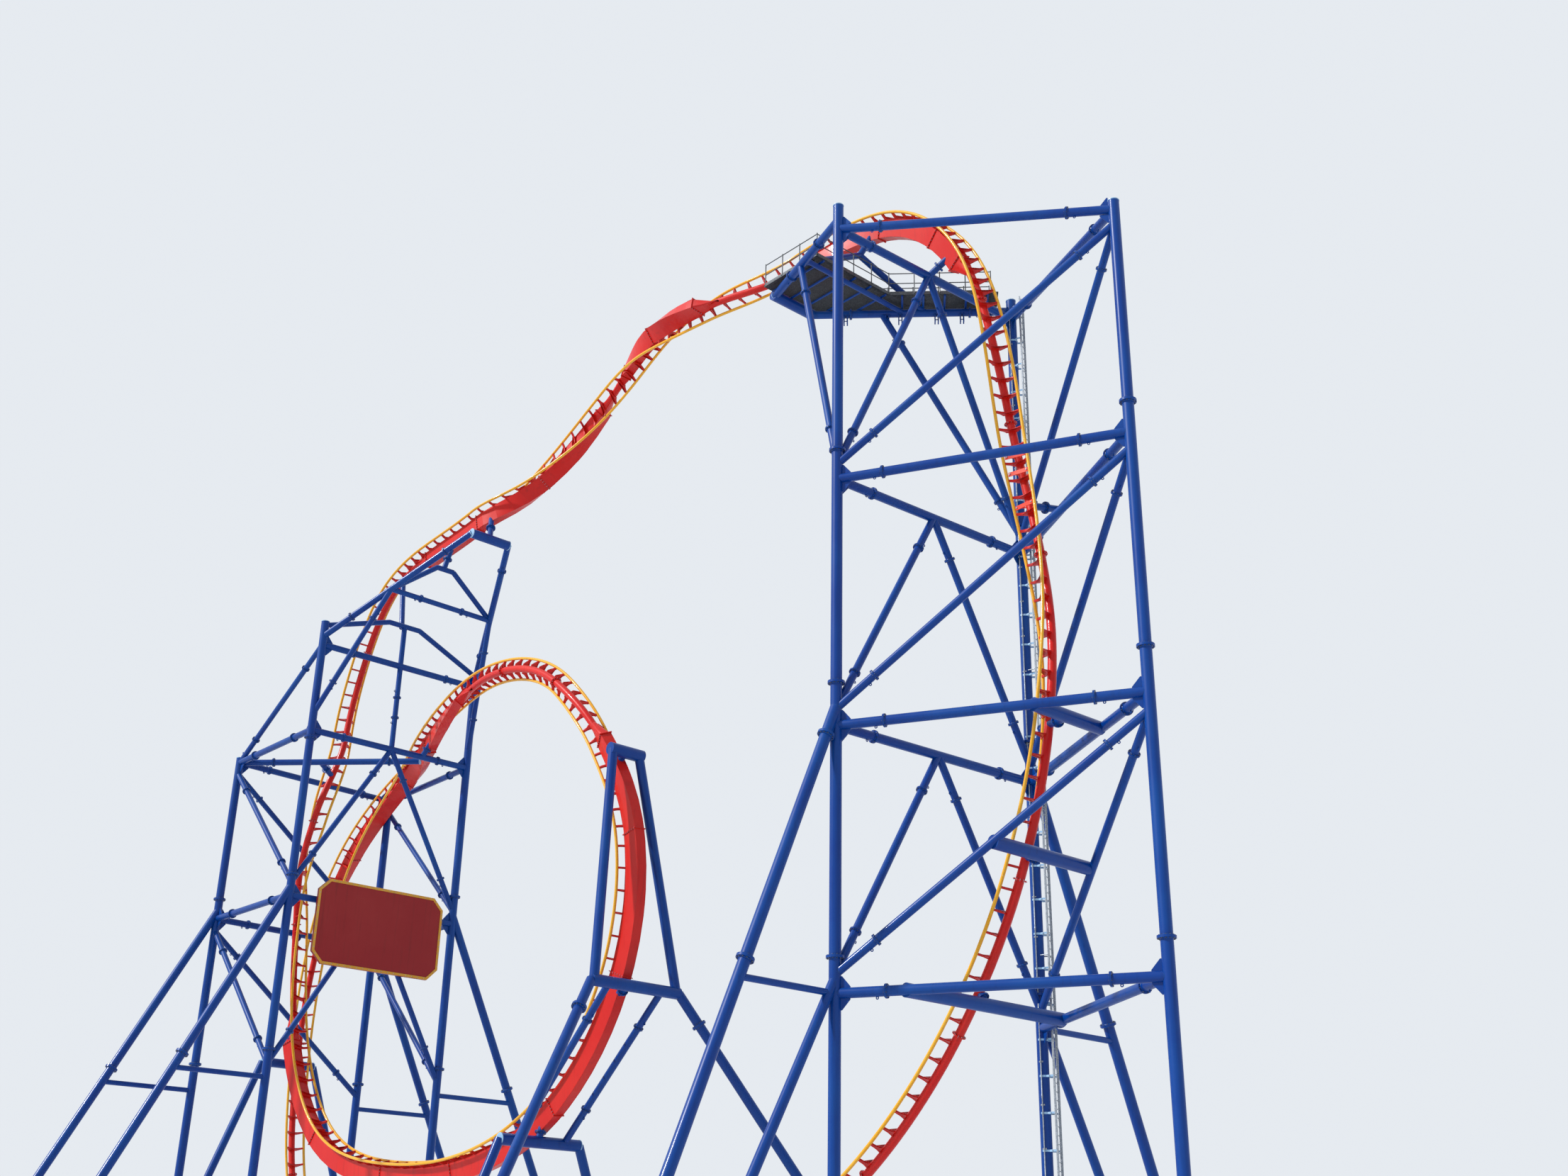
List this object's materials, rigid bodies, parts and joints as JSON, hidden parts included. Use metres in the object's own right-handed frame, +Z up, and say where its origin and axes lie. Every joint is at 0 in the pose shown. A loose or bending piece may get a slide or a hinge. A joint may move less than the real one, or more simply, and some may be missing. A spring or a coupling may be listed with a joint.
{
  "type": "1:10 scale model of a launched steel roller coaster",
  "caption": "1:10 scale model of a launched steel roller coaster: a tubular track circuit with a tall crest, a steep drop and a loop, on two trussed towers of raking columns.",
  "frame": {"origin": "on the floor, at the middle of the underside of the launch stand that is nearest to the middle of the launch straight", "axes": "+X along the launch towards the right tower, +Y square to it and away from the viewer, +Z up"},
  "size_m": [5.914, 3.2932, 4.627],
  "materials": {
    "support_paint": "glossy royal blue paint on steel tube",
    "track_paint": "glossy vermilion paint on steel",
    "rail_paint": "golden yellow paint, polished by wheels",
    "grating_steel": "dull galvanised grating",
    "galvanised_steel": "galvanised tube",
    "board_paint": "plain dark red painted board"
  },
  "bodies": {
    "root": {"climb_rails": "rail_paint", "climb_spine": "track_paint", "climb_ties": "track_paint", "column_ladder": "galvanised_steel", "crest_rails": "rail_paint", "crest_spine": "track_paint", "crest_ties": "track_paint", "drop_rails": "rail_paint", "drop_spine": "track_paint", "drop_ties": "track_paint", "launch_rails": "rail_paint", "launch_spine": "track_paint", "launch_stands": "support_paint", "launch_ties": "track_paint", "left_front_bracing": "support_paint", "left_front_inner_column": "support_paint", "left_front_legs": "support_paint", "left_front_outer_column": "support_paint", "left_inner_bracing": "support_paint", "left_outer_bracing": "support_paint", "left_rear_bracing": "support_paint", "left_rear_inner_column": "support_paint", "left_rear_legs": "support_paint", "left_rear_outer_column": "support_paint", "left_top_frame": "support_paint", "left_track_tubes": "support_paint", "loop_frame": "support_paint", "loop_frame_legs": "support_paint", "loop_rails": "rail_paint", "loop_spine": "track_paint", "loop_ties": "track_paint", "platform_deck": "grating_steel", "platform_frame": "support_paint", "platform_handrail": "galvanised_steel", "pull_out_frame": "support_paint", "right_cross_tubes": "support_paint", "right_front_bracing": "support_paint", "right_front_column": "support_paint", "right_front_legs": "support_paint", "right_outer_column": "support_paint", "right_rear_bracing": "support_paint", "right_rear_column": "support_paint", "right_rear_legs": "support_paint", "right_side_bracing": "support_paint", "roll_rails": "rail_paint", "roll_spine": "track_paint", "roll_ties": "track_paint", "sign_board": "board_paint", "valley_rails": "rail_paint", "valley_spine": "track_paint", "valley_stands": "support_paint", "valley_ties": "track_paint"}
  },
  "joints": []
}
